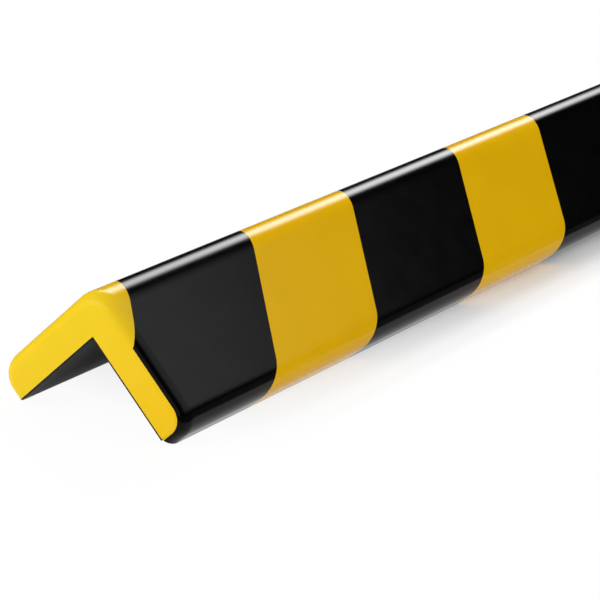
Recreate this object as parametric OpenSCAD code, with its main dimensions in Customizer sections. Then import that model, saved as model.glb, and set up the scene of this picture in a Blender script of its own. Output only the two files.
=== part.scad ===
// Magnetic corner bumper: a foam angle with black and yellow bands, and a magnetic strip
// inside each leg. It lies like a tent on the inner edges of its two leg tips, outer corner up.
// Millimetres. +Y runs along the bumper, away from its near end, and +Z is up.

/* [Profile] */
// Outside width of a leg, from the sharp outer corner to the leg's tip
leg_w = 40; // [32:1:60]
// Thickness of the foam
foam_t = 9.4; // [8.5:0.1:14]
// Radius of the outer corner
corner_r = 8; // [5:0.1:9.2]
// Radius of the outer edge of each leg tip
tip_r = 6.2; // [5:0.1:8.4]

/* [Length] */
// Length of the bumper
bumper_l = 1000; // [300:10:1500]
// Radius of the arc in which the skin turns in towards both end faces
end_r = 5; // [4:0.1:8]
// How far inside the section's outline that arc would meet the end faces
end_drop = 2; // [1:0.1:3]
// Radius of the rounding between that arc and the end faces
rim_r = 2.5; // [1.5:0.1:2.6]

/* [Bands] */
// Width of a black band, along the bumper
black_w = 53.5; // [30:0.5:80]
// Width of a yellow band, along the bumper
yellow_w = 45; // [30:1:80]
// Width of the black band nearest the near end, a little narrower than the others
first_black_w = 50.5; // [30:0.5:80]
// Length of yellow on the outer corner before the first black band
first_yellow = 10.5; // [6:0.5:40]
// Slant of the bands' edges on the unrolled skin, from square to the length
slant = 33; // [0:1:45]
// Depth of the black colour in the skin
colour_t = 0.3; // [0.2:0.05:0.8]
// How far in from the section's outline the black coat reaches on the rounded rims
coat_in = 1.9; // [0.8:0.1:2]

/* [Magnetic strips] */
// Thickness of a magnetic strip
magnet_t = 0.4; // [0.3:0.1:1.2]
// Width of bare foam between the inner corner and the strip
magnet_gap = 1.3; // [1.2:0.1:2.5]
// Width of bare foam between the strip and the end of the leg
magnet_margin = 2.1; // [1:0.1:6]

/* [Hidden] */
YELLOW = "#f0c020";
BLACK = "#1c1c1c";
MAGNET = "#3a3a3e";
// Facets of a full circle
round_fn = 96;
// Steps of a band's edge round half the outer corner and round a leg tip
corner_steps = 4;
tip_steps = 6;
// How far a cutter or a mask reaches past what it cuts
over = 1;
// Where a band cutter's inner side runs, as a share of a rounding's radius from its middle
cutter_core = 0.1;

leg_in = leg_w - foam_t;
magnet_w = leg_in - magnet_gap - magnet_margin;
// Length of the stretch by each end in which the skin turns in
end_len = sqrt(pow(end_r, 2) - pow(end_r - end_drop, 2));
// Middle of the rounding: how far in from the outline, and how far from the end face
rim_c = [end_r - sqrt(pow(end_r - rim_r, 2) - pow(end_len - rim_r, 2)), rim_r];
pitch = black_w + yellow_w;
slope = tan(slant);
// Middles of the roundings. Both coordinates of the corner's are the same.
corner_c = foam_t - corner_r;
tip_c = [foam_t - tip_r, tip_r - leg_in];
// Distances on the skin from the outer corner line to where each stretch of a leg ends
skin_corner = corner_r * PI / 4;
skin_face = skin_corner + corner_c - tip_c.y;
skin_tip = skin_face + tip_r * PI / 2;
skin_end = skin_tip + tip_c.x + over;

// The profile is drawn with its inner corner at the origin, the right leg hanging down, the
// left leg square to it, and z along the bumper. The left leg is the right one mirrored.
function swapped(point) = [point.y, point.x];
function reversed(list) = [for (i = [len(list) - 1 : -1 : 0]) list[i]];

module both_legs() {
    children();
    mirror([1, -1, 0])
        children();
}

// Outline of the right leg from the inner tip edge to the corner rounding, moved in by inset
function leg_points(inset) = [
    [0, inset - leg_in],
    [tip_c.x, inset - leg_in],
    tip_c,
    [foam_t - inset, tip_c.y],
    [foam_t - inset, corner_c],
];

module quadrant(r) {
    intersection() {
        circle(r = r, $fn = round_fn);
        square(r);
    }
}

// The foam's cross-section, with its outer surfaces moved in by inset
module section(inset) {
    polygon(concat(
        [[0, 0]],
        leg_points(inset),
        [[corner_c, corner_c]],
        reversed([for (point = leg_points(inset)) swapped(point)])
    ));
    translate([corner_c, corner_c])
        quadrant(corner_r - inset);
    both_legs()
        translate(tip_c)
            mirror([0, 1])
                quadrant(tip_r - inset);
}

// A disc, or where hollow the ring that is its outermost colour_t
module disc(centre, r, hollow) {
    translate(centre)
        difference() {
            circle(r = r, $fn = round_fn);
            if (hollow)
                circle(r = r - colour_t, $fn = round_fn);
        }
}

// The rim's section at an end, cut square to the outer surface: x runs in from that surface, and
// y from the end face. The line through the middles of both arcs, where they meet, parts them.
module rim_arcs(hollow) {
    steep = (end_len - rim_r) / (end_r - rim_c.x);
    parting = [-over, rim_c.y - steep * (rim_c.x + over)];
    intersection() {
        polygon([rim_c, parting, [-over, end_len], [rim_c.x, end_len]]);
        disc([end_r, end_len], end_r, hollow);
    }
    intersection() {
        polygon([rim_c, parting, [parting.x, parting.y - over], [rim_c.x, parting.y - over]]);
        disc(rim_c, rim_r, hollow);
    }
}

// The same for a surface at x = out. It is solid, or where hollow the coat alone.
module rim_section(out, hollow) {
    translate([out, 0])
        mirror([1, 0])
            intersection() {
                square([hollow ? coat_in : rim_c.x, end_len]);
                rim_arcs(hollow);
            }
}

// The rim along the outside of the section at the near end
module rim(hollow) {
    translate([corner_c, corner_c])
        rotate_extrude(angle = 90, $fn = round_fn)
            rim_section(corner_r, hollow);
    both_legs() {
        translate([foam_t, corner_c])
            rotate([90, 0, 0])
                linear_extrude(corner_c - tip_c.y)
                    rim_section(0, hollow);
        translate(tip_c)
            rotate([0, 0, -90])
                rotate_extrude(angle = 90, $fn = round_fn)
                    rim_section(tip_r, hollow);
        translate([tip_c.x, -leg_in])
            rotate([90, 0, -90])
                linear_extrude(tip_c.x)
                    rim_section(0, hollow);
    }
}

// The same thing at both ends of the bumper
module both_ends() {
    children();
    translate([0, 0, bumper_l])
        mirror([0, 0, 1])
            children();
}

// The whole foam profile, as it is before the bands are coated
module profile() {
    translate([0, 0, end_len])
        linear_extrude(bumper_l - 2 * end_len)
            section(0);
    both_ends() {
        linear_extrude(end_len)
            section(rim_c.x);
        rim(false);
    }
}

// The outermost colour_t of the profile's skin, from tip to tip and over both rims
module coat() {
    translate([0, 0, end_len])
        linear_extrude(bumper_l - 2 * end_len)
            difference() {
                section(0);
                section(colour_t);
            }
    both_ends()
        rim(true);
}

// Stations across the skin: a point inside the foam, a point outside it, and the distance on
// the skin from the outer corner line, which is negative on the left leg
function bend_station(centre, r, way, s) =
    [centre + cutter_core * r * way, centre + (r + over) * way, s];
right_stations = concat(
    [
        for (i = [1 : corner_steps])
            let (a = 45 * i / corner_steps)
                bend_station(
                    [corner_c, corner_c], corner_r, [cos(45 - a), sin(45 - a)],
                    corner_r * a * PI / 180
                ),
    ],
    [
        for (i = [0 : tip_steps])
            let (a = 90 * i / tip_steps)
                bend_station(tip_c, tip_r, [cos(a), -sin(a)], skin_face + tip_r * a * PI / 180),
    ],
    [[[-over, tip_c.y - cutter_core * tip_r], [-over, -leg_in - over], skin_end]]
);
stations = concat(
    [for (st = reversed(right_stations)) [swapped(st[0]), swapped(st[1]), -st[2]]],
    [bend_station([corner_c, corner_c], corner_r, [cos(45), sin(45)], 0)],
    right_stations
);

// A cutter for one band: it follows the skin, and its edges are straight on the unrolled skin
module band_cutter(near, width) {
    last = len(stations) - 1;
    points = [
        for (st = stations)
            let (z = near - slope * st[2])
                each [
                    [st[0].x, st[0].y, z],
                    [st[1].x, st[1].y, z],
                    [st[1].x, st[1].y, z + width],
                    [st[0].x, st[0].y, z + width],
                ],
    ];
    sides = [
        for (i = [0 : last - 1], k = [0 : 3])
            let (a = 4 * i + k, b = 4 * i + (k + 1) % 4)
                each [[a, b + 4, b], [a, a + 4, b + 4]],
    ];
    caps = [[0, 1, 2, 3], [for (k = [3 : -1 : 0]) 4 * last + k]];
    polyhedron(points, concat(sides, caps));
}

// Where each black band starts on the outer corner line, and how wide it is
reach = slope * skin_end;
bands = [
    for (k = [-ceil((reach + first_yellow) / pitch) : ceil((bumper_l + reach) / pitch)])
        let (
            width = k == 0 ? first_black_w : black_w,
            near = first_yellow + (k > 0 ? first_black_w - black_w : 0) + k * pitch
        )
            if (near + width + reach > 0 && near - reach < bumper_l)
                [near, width],
];

module black_coat() {
    intersection() {
        coat();
        union()
            for (band = bands)
                band_cutter(band[0], band[1]);
    }
}

// Turns the outer corner up and lays the bumper down on its leg tips
module lay_down() {
    translate([0, -bumper_l / 2, leg_in / sqrt(2)])
        mirror([0, 1, -1])
            rotate([0, 0, 45])
                children();
}

// The yellow foam angle, moulded in one piece and sunk where the black coat lies
module foam_profile() {
    color(YELLOW)
        lay_down()
            difference() {
                profile();
                black_coat();
            }
}

// The black coat: slanted bands that wrap the skin from tip to tip, flush with the yellow
module black_bands() {
    color(BLACK)
        lay_down()
            black_coat();
}

// The flat strip bonded to the inner face of the right leg, as long as the foam
module magnet_strip() {
    translate([-magnet_t, -magnet_gap - magnet_w, 0])
        cube([magnet_t, magnet_w, bumper_l]);
}

module magnet_strip_right() {
    color(MAGNET)
        lay_down()
            magnet_strip();
}

module magnet_strip_left() {
    color(MAGNET)
        lay_down()
            mirror([1, -1, 0])
                magnet_strip();
}

foam_profile();
black_bands();
magnet_strip_left();
magnet_strip_right();
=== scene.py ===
"""Looks of the magnetic corner bumper: satin foam skin with slanted bands, magnetic sheet inside."""

import math

import bmesh
import bpy
import numpy as np
from mathutils import Matrix, Vector


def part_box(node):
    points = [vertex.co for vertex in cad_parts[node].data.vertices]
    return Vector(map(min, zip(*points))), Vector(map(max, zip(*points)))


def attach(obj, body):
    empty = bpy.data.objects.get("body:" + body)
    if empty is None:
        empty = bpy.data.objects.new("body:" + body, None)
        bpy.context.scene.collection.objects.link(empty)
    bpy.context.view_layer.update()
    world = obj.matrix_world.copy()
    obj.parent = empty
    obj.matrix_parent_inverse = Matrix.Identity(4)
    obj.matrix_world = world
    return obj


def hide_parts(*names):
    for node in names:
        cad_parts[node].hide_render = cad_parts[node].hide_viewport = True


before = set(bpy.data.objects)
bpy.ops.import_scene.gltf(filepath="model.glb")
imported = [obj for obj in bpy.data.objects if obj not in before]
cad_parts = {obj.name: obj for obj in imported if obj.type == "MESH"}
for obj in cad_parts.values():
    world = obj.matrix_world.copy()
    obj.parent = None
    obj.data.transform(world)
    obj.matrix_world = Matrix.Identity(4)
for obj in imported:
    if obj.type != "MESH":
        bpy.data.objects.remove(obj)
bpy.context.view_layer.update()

MM = 0.001
ROOT2 = math.sqrt(2)

# Sizes of the profile and its bands, as the part's source has them
FOAM_T = 9.4 * MM
CORNER_R = 8 * MM
TIP_R = 6.2 * MM
END_R = 5 * MM
END_DROP = 2 * MM
RIM_R = 2.5 * MM
BLACK_W = 53.5 * MM
YELLOW_W = 45 * MM
FIRST_BLACK_W = 50.5 * MM
FIRST_YELLOW = 10.5 * MM
SLANT = math.radians(33)
COAT_T = 0.3 * MM
COAT_IN = 1.9 * MM

# What the frame's boxes give
FOAM_LOW, FOAM_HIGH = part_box("foam_profile")
STRIP_LOW, STRIP_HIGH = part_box("magnet_strip_right")
LENGTH = FOAM_HIGH.y - FOAM_LOW.y
LEG_IN = (FOAM_HIGH.x - TIP_R) * ROOT2 + 2 * TIP_R - FOAM_T
STRIP_GAP = LEG_IN - STRIP_HIGH.z * ROOT2
STRIP_END = STRIP_HIGH.x * ROOT2
STRIP_T = STRIP_GAP - STRIP_LOW.x * ROOT2

# The photograph's camera: where it looks from, and the point that its axis passes
AZIMUTH = math.radians(32.04)
ELEVATION = math.radians(18.84)
ROLL = math.radians(-2.85)
DISTANCE = 660.6 * MM
FOCAL_PX = 2915.2
FRAME_PX = 600
SENSOR_MM = 36
AIM_RIGHT = 46.96 * MM
AIM_UP = 8.25 * MM
CLIP_START = 10 * MM


# The camera

def view_axes():
    """The camera's right, up and back directions."""
    back = Vector((
        math.sin(AZIMUTH) * math.cos(ELEVATION),
        -math.cos(AZIMUTH) * math.cos(ELEVATION),
        math.sin(ELEVATION),
    ))
    right = Vector((math.cos(AZIMUTH), math.sin(AZIMUTH), 0))
    up = back.cross(right)
    turned = math.cos(ROLL) * right - math.sin(ROLL) * up
    return turned, back.cross(turned), back


def add_camera():
    right, up, back = view_axes()
    inner_corner = Vector((0, FOAM_LOW.y, LEG_IN / ROOT2))
    aim = inner_corner + AIM_RIGHT * right + AIM_UP * up
    data = bpy.data.cameras.new("camera")
    data.sensor_width = SENSOR_MM
    data.lens = FOCAL_PX * SENSOR_MM / FRAME_PX
    data.clip_start = CLIP_START
    camera = bpy.data.objects.new("camera", data)
    axes = Matrix((right, up, back)).transposed().to_4x4()
    camera.matrix_world = Matrix.Translation(aim + DISTANCE * back) @ axes
    bpy.context.scene.collection.objects.link(camera)
    bpy.context.scene.camera = camera


# The skin, as a function of two distances: s across it from the outer corner line, which is
# negative on the left leg, and y along it from the near end

CORNER_MID = FOAM_T - CORNER_R
TIP_MID = np.array((FOAM_T - TIP_R, TIP_R - LEG_IN))
S_CORNER = CORNER_R * math.pi / 4
S_FACE = S_CORNER + CORNER_MID - TIP_MID[1]
S_TIP = S_FACE + TIP_R * math.pi / 2
S_END = S_TIP + TIP_MID[0]

# The rim: an arc in from the skin, then a smaller one that flows into the end face
END_LEN = math.sqrt(END_R ** 2 - (END_R - END_DROP) ** 2)
RIM_IN = END_R - math.sqrt((END_R - RIM_R) ** 2 - (END_LEN - RIM_R) ** 2)
MEET_ANGLE = math.atan2(END_LEN - RIM_R, END_R - RIM_IN)
MEET_Y = RIM_R * (1 - math.sin(MEET_ANGLE))
COAT_END = RIM_R - math.sqrt(RIM_R ** 2 - (RIM_IN - COAT_IN) ** 2)


def section(s):
    """Point and normal of the skin in the section, with the inner corner at the origin and the
    right leg hanging down."""
    far = abs(s)
    if far <= S_CORNER:
        angle = math.pi / 4 - far / CORNER_R
        normal = np.array((math.cos(angle), math.sin(angle)))
        point = np.array((CORNER_MID, CORNER_MID)) + CORNER_R * normal
    elif far <= S_FACE:
        normal = np.array((1.0, 0.0))
        point = np.array((FOAM_T, CORNER_MID - (far - S_CORNER)))
    elif far <= S_TIP:
        angle = (far - S_FACE) / TIP_R
        normal = np.array((math.cos(angle), -math.sin(angle)))
        point = TIP_MID + TIP_R * normal
    else:
        normal = np.array((0.0, -1.0))
        point = np.array((TIP_MID[0] - (far - S_TIP), -LEG_IN))
    if s < 0:
        return point[::-1], normal[::-1]
    return point, normal


def turned_up(x, y):
    """A direction in the section, turned so that the outer corner is up."""
    return np.array(((x - y) / ROOT2, 0, (x + y) / ROOT2))


def placed(point, y):
    """A point of the section, so far from the near end."""
    return turned_up(*point) + np.array((0, FOAM_LOW.y + y, LEG_IN / ROOT2))


def rim_turn(y):
    """How far in the skin lies at y from an end, and the sine of its turn towards the end."""
    if y >= END_LEN:
        return 0.0, 0.0
    if y > MEET_Y:
        sine = (END_LEN - y) / END_R
        return END_R * (1 - math.sqrt(1 - sine ** 2)), sine
    sine = 1 - y / RIM_R
    return RIM_IN - RIM_R * math.sqrt(1 - sine ** 2), sine


def skin(s, y):
    """Point and normal on the skin."""
    point, normal = section(s)
    inward, sine = rim_turn(max(min(y, LENGTH - y), 0))
    outward = math.sqrt(1 - sine ** 2) * turned_up(*normal)
    outward[1] = -sine if y < LENGTH / 2 else sine
    return placed(point - normal * inward, y), outward


# The unrolled skin as a flat sheet, cut along every border of a band

CORNER_STEPS = 28
FACE_STEPS = 6
TIP_STEPS = 20
EDGE_STEPS = 2
RIM_STEPS = 24
LENGTH_STEP = 8 * MM
SLOPE = math.tan(SLANT)
PITCH = BLACK_W + YELLOW_W
# How near two places on the sheet count as one, and to how many digits of a metre they agree
SLACK = 0.5e-6
DIGITS = 7


def spread(start, end, steps):
    """Even steps from start, without end."""
    return [start + (end - start) * i / steps for i in range(steps)]


def stations_across():
    right = spread(0, S_CORNER, CORNER_STEPS // 2) + spread(S_CORNER, S_FACE, FACE_STEPS)
    right += spread(S_FACE, S_TIP, TIP_STEPS) + spread(S_TIP, S_END, EDGE_STEPS) + [S_END]
    return [-s for s in reversed(right[1:])] + right


def rim_station(angle):
    """How far from the end the skin has turned by an angle."""
    if angle > MEET_ANGLE:
        return RIM_R * (1 - math.sin(angle))
    return END_LEN - END_R * math.sin(angle)


def stations_along():
    rim = [rim_station(angle) for angle in spread(math.pi / 2, 0, RIM_STEPS)]
    middle = spread(END_LEN, LENGTH - END_LEN, round(LENGTH / LENGTH_STEP))
    return rim + middle + [LENGTH - y for y in reversed(rim)]


def bands():
    """Where each black band starts on the outer corner line, and where it ends."""
    reach = SLOPE * S_END
    found = []
    first = -math.ceil((reach + FIRST_YELLOW) / PITCH)
    for k in range(first, math.ceil((LENGTH + reach) / PITCH) + 1):
        width = FIRST_BLACK_W if k == 0 else BLACK_W
        near = FIRST_YELLOW + k * PITCH + (FIRST_BLACK_W - BLACK_W if k > 0 else 0)
        if near + width + reach > 0 and near - reach < LENGTH:
            found.append((near, near + width))
    return found


BANDS = bands()


def is_black(s, y):
    on_corner_line = y + SLOPE * s
    bare = y < COAT_END or y > LENGTH - COAT_END
    return not bare and any(near < on_corner_line < far for near, far in BANDS)


def cut(sheet, y, slope):
    """Cuts the sheet along the line that crosses the outer corner at y."""
    geometry = sheet.verts[:] + sheet.edges[:] + sheet.faces[:]
    bmesh.ops.bisect_plane(
        sheet, geom=geometry, dist=SLACK, plane_co=(0, y, 0), plane_no=(slope, 1, 0)
    )


def skin_sheet():
    sheet = bmesh.new()
    rows = [[sheet.verts.new((s, y, 0)) for s in stations_across()] for y in stations_along()]
    for near, far in zip(rows, rows[1:]):
        for i in range(len(near) - 1):
            sheet.faces.new((near[i], near[i + 1], far[i + 1], far[i]))
    for near, far in BANDS:
        cut(sheet, near, SLOPE)
        cut(sheet, far, SLOPE)
    cut(sheet, COAT_END, 0)
    cut(sheet, LENGTH - COAT_END, 0)
    return sheet


# Meshes: each face carries the normals that its corners shade with, or None where it is flat

def new_piece(name, points, faces, normals, material):
    mesh = bpy.data.meshes.new(name)
    mesh.from_pydata(points, [], faces)
    mesh.update()
    corner_normals = []
    for polygon, given in zip(mesh.polygons, normals):
        corner_normals += given if given else [polygon.normal] * polygon.loop_total
    mesh.normals_split_custom_set([tuple(n) for n in corner_normals])
    mesh.materials.append(material)
    piece = bpy.data.objects.new(name, mesh)
    bpy.context.scene.collection.objects.link(piece)
    return piece


class Shell:
    """Collects the points and faces of a closed mesh, with each point used once."""

    def __init__(self):
        self.points, self.faces, self.normals, self.index = [], [], [], {}

    def corner(self, key, point):
        if key not in self.index:
            self.index[key] = len(self.points)
            self.points.append(tuple(point))
        return self.index[key]

    def face(self, corners, normals=None):
        self.faces.append(corners)
        self.normals.append(normals)


def build_skins():
    """Two shells: the foam, sunk where the black coat lies, and the coat that fills it flush."""
    sheet = skin_sheet()
    sheet.verts.index_update()
    spots = [skin(v.co.x, v.co.y) for v in sheet.verts]
    foam, coat = Shell(), Shell()

    def outer(shell, i):
        return shell.corner(("outer", i), spots[i][0])

    def inner(shell, i):
        return shell.corner(("inner", i), spots[i][0] - COAT_T * spots[i][1])

    black = {}
    for face in sheet.faces:
        middle = face.calc_center_median()
        black[face] = is_black(middle.x, middle.y)
        ring = [v.index for v in face.verts]
        shading = [spots[i][1] for i in ring]
        if black[face]:
            coat.face([outer(coat, i) for i in ring], shading)
            coat.face([inner(coat, i) for i in reversed(ring)])
            foam.face([inner(foam, i) for i in ring], shading)
        else:
            foam.face([outer(foam, i) for i in ring], shading)

    for face in sheet.faces:
        if not black[face]:
            continue
        for loop in face.loops:
            others = [f for f in loop.edge.link_faces if f is not face]
            if others and black[others[0]]:
                continue
            a, b = loop.vert.index, loop.link_loop_next.vert.index
            coat.face([outer(coat, b), outer(coat, a), inner(coat, a), inner(coat, b)])
            if others:
                foam.face([outer(foam, a), outer(foam, b), inner(foam, b), inner(foam, a)])

    close_foam(foam, sheet)
    sheet.free()
    return foam, coat


def close_foam(foam, sheet):
    """Adds both end faces and both inner faces, which meet in the inner corner line."""
    corner_near = foam.corner("corner near", placed((0, 0), 0))
    corner_far = foam.corner("corner far", placed((0, 0), LENGTH))
    by_place = {(round(v.co.x, DIGITS), round(v.co.y, DIGITS)): v.index for v in sheet.verts}
    across = [round(s, DIGITS) for s in stations_across()]
    near_ring = [foam.index["outer", by_place[s, 0.0]] for s in across]
    far_ring = [foam.index["outer", by_place[s, round(LENGTH, DIGITS)]] for s in across]
    foam.face(near_ring + [corner_near])
    foam.face(far_ring[::-1] + [corner_far])
    for side in (1, -1):
        rim = tip_edge(foam, sheet, side)
        loop = [corner_near] + rim + [corner_far]
        foam.face(loop if side > 0 else loop[::-1])


def tip_edge(foam, sheet, side):
    """The foam's corners along the inner edge of a leg's tip, stepping in and out at each band."""
    edge = sorted(
        (v for v in sheet.verts if abs(v.co.x - side * S_END) < SLACK), key=lambda v: v.co.y
    )
    chain = []
    for a, b in zip(edge, edge[1:]):
        level = "inner" if is_black(a.co.x, (a.co.y + b.co.y) / 2) else "outer"
        for v in (a, b):
            corner = foam.index[level, v.index]
            if not chain or chain[-1] != corner:
                chain.append(corner)
    return chain


# The magnetic sheet: a flat bar with slightly rounded long edges

STRIP_EDGE_R = 0.15 * MM
STRIP_EDGE_STEPS = 4


def strip_outline():
    """The strip's section on the right leg, with its face against the foam at 0."""
    low, high = (-STRIP_T, -STRIP_END), (0.0, -STRIP_GAP)
    outline = []
    for x, y, start in (
        (high[0] - STRIP_EDGE_R, high[1] - STRIP_EDGE_R, 0),
        (low[0] + STRIP_EDGE_R, high[1] - STRIP_EDGE_R, 90),
        (low[0] + STRIP_EDGE_R, low[1] + STRIP_EDGE_R, 180),
        (high[0] - STRIP_EDGE_R, low[1] + STRIP_EDGE_R, 270),
    ):
        for i in range(STRIP_EDGE_STEPS + 1):
            angle = math.radians(start + 90 * i / STRIP_EDGE_STEPS)
            normal = np.array((math.cos(angle), math.sin(angle)))
            outline.append((np.array((x, y)) + STRIP_EDGE_R * normal, normal))
    return outline


def build_strip(side):
    """The strip of the right leg, or of the left where side is -1."""
    shell = Shell()
    outline = strip_outline()
    if side < 0:
        outline = [(point[::-1], normal[::-1]) for point, normal in reversed(outline)]
    count = len(outline)
    near = [shell.corner((i, 0), placed(outline[i][0], 0)) for i in range(count)]
    far = [shell.corner((i, 1), placed(outline[i][0], LENGTH)) for i in range(count)]
    for i in range(count):
        j = (i + 1) % count
        a, b = (turned_up(*outline[k][1]) for k in (i, j))
        shell.face([near[j], near[i], far[i], far[j]], [b, a, a, b])
    shell.face(near)
    shell.face(far[::-1])
    return shell


# Node trees

class Tree:
    """A node tree with short calls to add nodes, join them and work with numbers."""

    def __init__(self, owner):
        owner.use_nodes = True
        self.tree = owner.node_tree

    def add(self, kind, **settings):
        node = self.tree.nodes.new(kind)
        for key, value in settings.items():
            setattr(node, key, value)
        return node

    def feed(self, socket, value):
        """Joins an output to a socket, or writes a number, vector or colour in it."""
        if isinstance(value, bpy.types.NodeSocket):
            self.tree.links.new(value, socket)
        elif isinstance(value, tuple) and socket.type == "RGBA":
            socket.default_value = (*value, 1)
        else:
            socket.default_value = value

    def math(self, operation, *values):
        node = self.add("ShaderNodeMath", operation=operation)
        for socket, value in zip(node.inputs, values):
            self.feed(socket, value)
        return node.outputs[0]

    def ranged(self, value, start, end, low, high, smooth=False):
        """Maps start to end of a value onto low to high."""
        node = self.add("ShaderNodeMapRange")
        node.interpolation_type = "SMOOTHSTEP" if smooth else "LINEAR"
        given = {"Value": value, "From Min": start, "From Max": end, "To Min": low, "To Max": high}
        for name, number in given.items():
            self.feed(node.inputs[name], number)
        return node.outputs["Result"]

    def mixed(self, factor, first, second):
        """Two colours mixed by a factor."""
        node = self.add("ShaderNodeMix", data_type="RGBA")
        self.feed(node.inputs["Factor"], factor)
        for socket, colour in zip([s for s in node.inputs if s.type == "RGBA"], (first, second)):
            self.feed(socket, colour)
        return next(s for s in node.outputs if s.type == "RGBA")

    def either_ray(self, *names):
        """1 for the named kinds of rays and 0 for others."""
        rays = self.add("ShaderNodeLightPath").outputs
        found = rays[names[0]]
        for name in names[1:]:
            found = self.math("MAXIMUM", found, rays[name])
        return found


# The part of a noise's range in which most of its values lie
NOISE_SPAN = (0.3, 0.7)


class Material(Tree):
    """A material whose patterns lie on the piece's own coordinates."""

    def __init__(self, name):
        self.material = bpy.data.materials.new(name)
        super().__init__(self.material)
        self.shader = self.tree.nodes["Principled BSDF"]
        self.place = self.add("ShaderNodeTexCoord").outputs["Object"]

    def set(self, name, value):
        self.feed(self.shader.inputs[name], value)

    def coordinate(self, axis):
        split = self.add("ShaderNodeSeparateXYZ")
        self.feed(split.inputs[0], self.place)
        return split.outputs[axis]

    def near_end(self, start, full, smooth=False):
        """Rises from 0 to 1 between two distances from the nearer end of the bumper."""
        from_middle = self.math("ABSOLUTE", self.coordinate("Y"))
        half = LENGTH / 2
        return self.ranged(from_middle, half - start, half - full, 0, 1, smooth)

    def noise(self, size, detail=3, stretch=(1, 1, 1)):
        """Noise whose features are about so large, in metres."""
        mapping = self.add("ShaderNodeMapping")
        self.feed(mapping.inputs["Vector"], self.place)
        self.feed(mapping.inputs["Scale"], stretch)
        node = self.add("ShaderNodeTexNoise")
        self.feed(node.inputs["Vector"], mapping.outputs["Vector"])
        self.feed(node.inputs["Scale"], 1 / size)
        self.feed(node.inputs["Detail"], detail)
        return node.outputs["Fac"]

    def cloudy(self, size, low, high, detail=3):
        """A number that drifts from low to high over such distances."""
        return self.ranged(self.noise(size, detail), *NOISE_SPAN, low, high)

    def bump(self, height, depth, under=None):
        node = self.add("ShaderNodeBump")
        self.feed(node.inputs["Distance"], depth)
        self.feed(node.inputs["Height"], height)
        if under:
            self.feed(node.inputs["Normal"], under)
        return node.outputs["Normal"]


# Materials

WHITE = (1.0, 1.0, 1.0)

# The skin's gloss and relief, the same on yellow and black
YELLOW_IOR = 1.165
BLACK_IOR = 1.2
SKIN_ROUGHNESS = (0.13, 0.155)
SKIN_ROUGHNESS_SIZE = 6 * MM
WAVE_SIZE = 14 * MM
WAVE_DEPTH = 0.012 * MM
GRAIN_SIZE = 0.35 * MM
GRAIN_DEPTH = 0.0035 * MM

# Two yellows for the sides and two paler ones for the ends, where the paler yellow paints in
# brighter light; all drift over the same distances
CLOUD_SIZE = 22 * MM
SIDE_YELLOWS = ((0.78, 0.435, 0.0005), (0.81, 0.46, 0.0015))
PALE_LIT_END_YELLOWS = ((0.78, 0.535, 0.015), (0.81, 0.56, 0.019))
# Distances from the end at which the paler yellow, painted light, starts and is full, and its
# share at the right leg's tip, where it falls off as painted shade
LIT_PALE_START = 13 * MM
LIT_PALE_FULL = 0.2 * END_LEN
PALE_SHARE_IN_RIGHT_TIP_SHADE = 0.45

SPECKLE_SIZE = 0.6 * MM
BLACKS = ((0.0003, 0.0003, 0.0004), (0.0018, 0.0018, 0.0019))

# The magnetic sheet: greys of its faces, and the painted shade, nearly black, on its cut ends, which
# starts this near the end
SHEET_IOR = 1.35
SHEET_ROUGHNESS = (0.66, 0.72)
SHEET_GREYS = ((0.052, 0.051, 0.053), (0.066, 0.065, 0.067))
END_SHADE_BLACK = (0.002, 0.002, 0.002)
END_SHADE_START = 0.3 * MM
END_SHADE_FULL = 0.1 * MM
LINE_SIZE = 1.5 * MM
LINE_STRETCH = (1, 0.02, 1)
LINE_DEPTH = 0.003 * MM
SHEET_GRAIN_SIZE = 0.4 * MM
SHEET_GRAIN_DEPTH = 0.006 * MM


def finish_skin(material, ior):
    """Gives a skin its satin gloss, faint unevenness and fine grain."""
    material.set("Roughness", material.cloudy(SKIN_ROUGHNESS_SIZE, *SKIN_ROUGHNESS))
    waves = material.bump(material.noise(WAVE_SIZE, detail=0), WAVE_DEPTH)
    grain = material.noise(GRAIN_SIZE, detail=2)
    material.set("Normal", material.bump(grain, GRAIN_DEPTH, under=waves))
    material.set("IOR", ior)
    return material.material


def foam_skin():
    """Yellow skin of moulded foam, with a faint cloudiness. It is paler by the ends, which paints in
    brighter light there, but less so towards the tip of the right leg, which paints shade."""
    material = Material("yellow_foam")
    cloud = material.cloudy(CLOUD_SIZE, 0, 1)
    side = material.mixed(cloud, *SIDE_YELLOWS)
    end = material.mixed(cloud, *PALE_LIT_END_YELLOWS)
    # The paler ends are painted light, and their fall towards the right tip is painted shade
    lit_by_end = material.near_end(LIT_PALE_START, LIT_PALE_FULL, smooth=True)
    shaded_to_right = material.ranged(material.coordinate("X"), 0, FOAM_HIGH.x, 1, PALE_SHARE_IN_RIGHT_TIP_SHADE)
    pale_and_lit = material.math("MULTIPLY", lit_by_end, shaded_to_right)
    material.set("Base Color", material.mixed(pale_and_lit, side, end))
    return finish_skin(material, YELLOW_IOR)


def black_coat():
    """Black elastic coat on the same skin, with a very fine speckle."""
    material = Material("black_coat")
    speckle = material.cloudy(SPECKLE_SIZE, 0, 1, detail=1)
    material.set("Base Color", material.mixed(speckle, *BLACKS))
    return finish_skin(material, BLACK_IOR)


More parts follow.
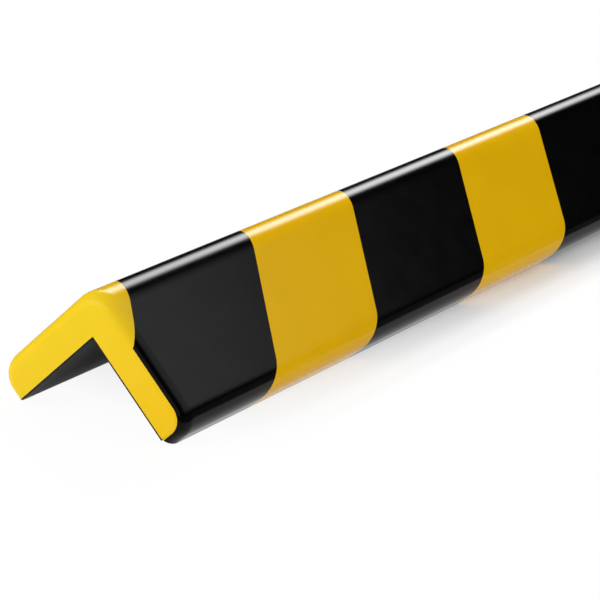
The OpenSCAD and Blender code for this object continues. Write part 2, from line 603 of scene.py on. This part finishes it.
def magnetic_sheet():
    """Charcoal magnetic sheet: matt, with faint lines from its rolling, and painted shade that makes
    its cut ends nearly black.
    """
    material = Material("magnetic_sheet")
    lines = material.noise(LINE_SIZE, stretch=LINE_STRETCH)
    grain = material.noise(SHEET_GRAIN_SIZE)
    face = material.mixed(grain, *SHEET_GREYS)
    # Painted shade: the cut ends turn nearly black
    painted_end_shade = material.near_end(END_SHADE_START, END_SHADE_FULL)
    material.set("Base Color", material.mixed(painted_end_shade, face, END_SHADE_BLACK))
    material.set("Roughness", material.ranged(lines, *NOISE_SPAN, *SHEET_ROUGHNESS))
    grained = material.bump(grain, SHEET_GRAIN_DEPTH)
    material.set("Normal", material.bump(lines, LINE_DEPTH, under=grained))
    material.set("IOR", SHEET_IOR)
    return material.material


# The pieces

def dress(name, shell, material, node):
    piece = new_piece(name, shell.points, shell.faces, shell.normals, material)
    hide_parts(node)
    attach(piece, "root")
    return piece


def build_bumper():
    foam, coat = build_skins()
    foam_piece = dress("foam_skin", foam, foam_skin(), "foam_profile")
    dress("black_band_coat", coat, black_coat(), "black_bands")
    sheet = magnetic_sheet()
    for side, hand in ((1, "right"), (-1, "left")):
        name = "magnetic_sheet_" + hand
        dress(name, build_strip(side), sheet, "magnet_strip_" + hand)


# The studio

# The floor's white, and the grey that reflections show of it on the left of the bumper, a painted
# dark reflection
FLOOR_RADIUS = 6.0
FLOOR_STEPS = 96
FLOOR_ROUGHNESS = 0.9
FLOOR_ALBEDO = 0.97
LEFT_REFLECTED_GREY = 0.2
LEFT_WIDTH = 15 * MM
# How far a glow lifts it to white by the near end of the bumper, which paints light into the
# shadow there, and farther along it in the shadow and in reflections
NEAR_LIFT = 0.95
SHADOW_FAR_LIFT = 0.18
MIRRORED_FAR_LIFT = 0.5
LIFT_NEAR_Y = FOAM_LOW.y + 15 * MM
LIFT_FAR_Y = FOAM_LOW.y + 165 * MM
# Distances from the bumper's middle plane between which painted light clears the shadow away
CLEAR_START = 34 * MM
CLEAR_FULL = 42 * MM
# Shares of the lift that reflections show, a painted reflection: in the middle of the tunnel, under
# a leg tip, and beside it
MIDDLE_LIFT = 0.0
MIDDLE_END = 15 * MM
UNDER_LIFT = 0.9
UNDER_START = 20 * MM
BESIDE_LIFT = 0.25
BESIDE_WIDTH = 6 * MM

# The dark cards reach this many times as far as the bumper, both ways
CARD_LENGTHS = 3
RIGHT_CARD_GAP = 13 * MM
RIGHT_CARD_HEIGHT = 8.5 * MM
RIGHT_CARD_GLOW = 0.14
LEFT_CARD_GAP = 190 * MM
LEFT_CARD_HEIGHT = 60 * MM
LEFT_CARD_GLOW = 0.0

# Fields of the sky: the turns in degrees and the aheads where each starts, is full and ends
SOFTBOX = ((-71, -40, -38, -19), (0.5, 0.72, 0.835, 0.93))
CURTAIN = ((-100, -90, 96, 110), (-0.7, -0.5, 1.1, 1.2))
PATCH = ((-10, 38, 60, 86), (-0.25, 0.05, 0.775, 0.812))
DOME_LIGHT = 0.515
DOME_SEEN = 1.0
SOFTBOX_LIGHT = 9.0
PATCH_LIGHT = 0.6
PATCH_MIRRORED = 1.9
FRONT_LIGHT = 1.78
FRONT_ANGLE = math.radians(45)
FRONT_WAY = (-0.49, -0.73, 0.485)


def set_glow(material, base, glow):
    """Makes a surface without gloss that also gives off some white light."""
    material.set("Base Color", base)
    material.set("Specular IOR Level", 0.0)
    material.set("Emission Color", WHITE)
    material.set("Emission Strength", glow)


def lift_along(material, far_lift):
    """The lift by the near end, falling along the bumper."""
    return material.ranged(
        material.coordinate("Y"), LIFT_NEAR_Y, LIFT_FAR_Y, NEAR_LIFT, far_lift
    )


def seen_lift(material, beside):
    """The floor's lift as the camera sees it: white but for the shadow close to the bumper, which
    painted light pales most by the near end and clears beyond a set distance.
    """
    # Painted light: the glow pales the shadow by the near end and clears it beside the bumper
    shadow = lift_along(material, SHADOW_FAR_LIFT)
    clear = material.ranged(beside, CLEAR_START, CLEAR_FULL, 0, NEAR_LIFT, smooth=True)
    seen = material.either_ray("Is Camera Ray", "Is Transmission Ray")
    return material.math("MULTIPLY", seen, material.math("MAXIMUM", shadow, clear))


def mirrored_lift(material, beside):
    """The floor's lift as reflections show it, a painted reflection: brightest under the leg tips.
    """
    edge = FOAM_HIGH.x
    from_middle = material.ranged(beside, MIDDLE_END, UNDER_START, MIDDLE_LIFT, UNDER_LIFT)
    to_outside = material.ranged(beside, edge, edge + BESIDE_WIDTH, UNDER_LIFT, BESIDE_LIFT)
    across = material.math("MINIMUM", from_middle, to_outside)
    along = lift_along(material, MIRRORED_FAR_LIFT)
    mirrored = material.either_ray("Is Glossy Ray")
    return material.math("MULTIPLY", mirrored, material.math("MULTIPLY", along, across))


def floor_white():
    """White that camera and reflections see partly lifted by a glow, so that the floor is pale and
    keeps the bumper's shadow, which this painted light pales most by the near end. Reflections
    show it painted dark grey on the left."""
    material = Material("floor_white")
    x = material.coordinate("X")
    beside = material.math("ABSOLUTE", x)
    lift = material.math("MAXIMUM", seen_lift(material, beside), mirrored_lift(material, beside))
    left_end = -FOAM_HIGH.x - LEFT_WIDTH
    # Only reflections see this painted dark grey beside the left leg
    grey_reflected_on_left = material.ranged(x, left_end, -FOAM_HIGH.x, LEFT_REFLECTED_GREY, FLOOR_ALBEDO)
    mirrored = material.either_ray("Is Glossy Ray")
    albedo_and_reflected_grey = material.ranged(mirrored, 0, 1, FLOOR_ALBEDO, grey_reflected_on_left)
    unlifted = material.math("SUBTRACT", 1.0, lift)
    grey = material.add("ShaderNodeCombineColor")
    level = material.math("MULTIPLY", unlifted, albedo_and_reflected_grey)
    for socket in grey.inputs:
        material.feed(socket, level)
    set_glow(material, grey.outputs[0], lift)
    material.set("Roughness", FLOOR_ROUGHNESS)
    return material.material


def add_floor():
    bpy.ops.mesh.primitive_circle_add(
        vertices=FLOOR_STEPS, radius=FLOOR_RADIUS, fill_type="NGON"
    )
    floor = bpy.context.object
    floor.name = "floor"
    floor.data.materials.append(floor_white())


def add_dark_card(side, x, height, glow):
    """A dark card that stands along the bumper and that only reflections show. The right one
    gives the rounded leg tip its dark line, and the left one darkens the slope above the outer
    corner."""
    name = "dark_card_" + side
    near, far = CARD_LENGTHS * FOAM_LOW.y, CARD_LENGTHS * FOAM_HIGH.y
    corners = [(x, near, 0), (x, far, 0), (x, far, height), (x, near, height)]
    mesh = bpy.data.meshes.new(name)
    mesh.from_pydata(corners, [], [(0, 1, 2, 3)])
    card = bpy.data.objects.new(name, mesh)
    bpy.context.scene.collection.objects.link(card)
    card.visible_camera = False
    card.visible_diffuse = False
    card.visible_transmission = False
    card.visible_shadow = False
    material = Material(name)
    set_glow(material, (0.0, 0.0, 0.0), glow)
    mesh.materials.append(material.material)


class Sky(Tree):
    """The world, with fields of light and shade that depend on the direction alone. Turn is the
    angle from straight up towards +X, seen along the bumper, and ahead is the share of +Y."""

    def __init__(self, name):
        self.world = bpy.data.worlds.new(name)
        super().__init__(self.world)
        split = self.add("ShaderNodeSeparateXYZ")
        self.feed(split.inputs[0], self.add("ShaderNodeTexCoord").outputs["Generated"])
        self.turn = self.math("ARCTAN2", split.outputs["X"], split.outputs["Z"])
        self.ahead = split.outputs["Y"]

    def within(self, value, start, full, last, end):
        """0 outside start to end and 1 from full to last, smooth between."""
        rising = self.ranged(value, start, full, 0, 1, smooth=True)
        falling = self.ranged(value, last, end, 1, 0, smooth=True)
        return self.math("MULTIPLY", rising, falling)

    def field(self, turns, aheads):
        """1 inside a range of turns in degrees and of aheads, each range with soft borders."""
        turned = self.within(self.turn, *(math.radians(t) for t in turns))
        return self.math("MULTIPLY", turned, self.within(self.ahead, *aheads))


def sky_dome(sky, mirrored):
    """A pale even dome, white to the camera and in reflections. A black curtain, which only
    reflections show, hangs before most of it."""
    seen = sky.either_ray("Is Camera Ray", "Is Glossy Ray", "Is Transmission Ray")
    light = sky.ranged(seen, 0, 1, DOME_LIGHT, DOME_SEEN)
    curtain = sky.math("MULTIPLY", sky.field(*CURTAIN), mirrored)
    return sky.math("MULTIPLY", light, sky.ranged(curtain, 0, 1, 1, 0))


def sky_lights(sky, mirrored):
    """A far softbox behind on the left and a dim patch of light on the right, both unseen."""
    softbox = sky.math("MULTIPLY", sky.field(*SOFTBOX), SOFTBOX_LIGHT)
    patch_light = sky.ranged(mirrored, 0, 1, PATCH_LIGHT, PATCH_MIRRORED)
    patch = sky.math("MULTIPLY", sky.field(*PATCH), patch_light)
    unseen = sky.math("SUBTRACT", 1.0, sky.either_ray("Is Camera Ray"))
    return sky.math("MULTIPLY", sky.math("ADD", softbox, patch), unseen)


def add_world():
    sky = Sky("studio")
    bpy.context.scene.world = sky.world
    mirrored = sky.either_ray("Is Glossy Ray")
    strength = sky.math("ADD", sky_dome(sky, mirrored), sky_lights(sky, mirrored))
    background = sky.tree.nodes["Background"]
    sky.feed(background.inputs["Color"], WHITE)
    sky.feed(background.inputs["Strength"], strength)


def add_front_light():
    """A wide soft light from far off in front, above and to the left."""
    data = bpy.data.lights.new("front_light", "SUN")
    data.angle = FRONT_ANGLE
    data.energy = FRONT_LIGHT
    lamp = bpy.data.objects.new("front_light", data)
    lamp.rotation_euler = Vector(FRONT_WAY).to_track_quat("Z", "Y").to_euler()
    bpy.context.scene.collection.objects.link(lamp)


add_camera()
add_floor()
add_dark_card("right", FOAM_HIGH.x + RIGHT_CARD_GAP, RIGHT_CARD_HEIGHT, RIGHT_CARD_GLOW)
add_dark_card("left", FOAM_LOW.x - LEFT_CARD_GAP, LEFT_CARD_HEIGHT, LEFT_CARD_GLOW)
add_world()
add_front_light()
build_bumper()

bpy.context.scene.view_settings.view_transform = "Standard"
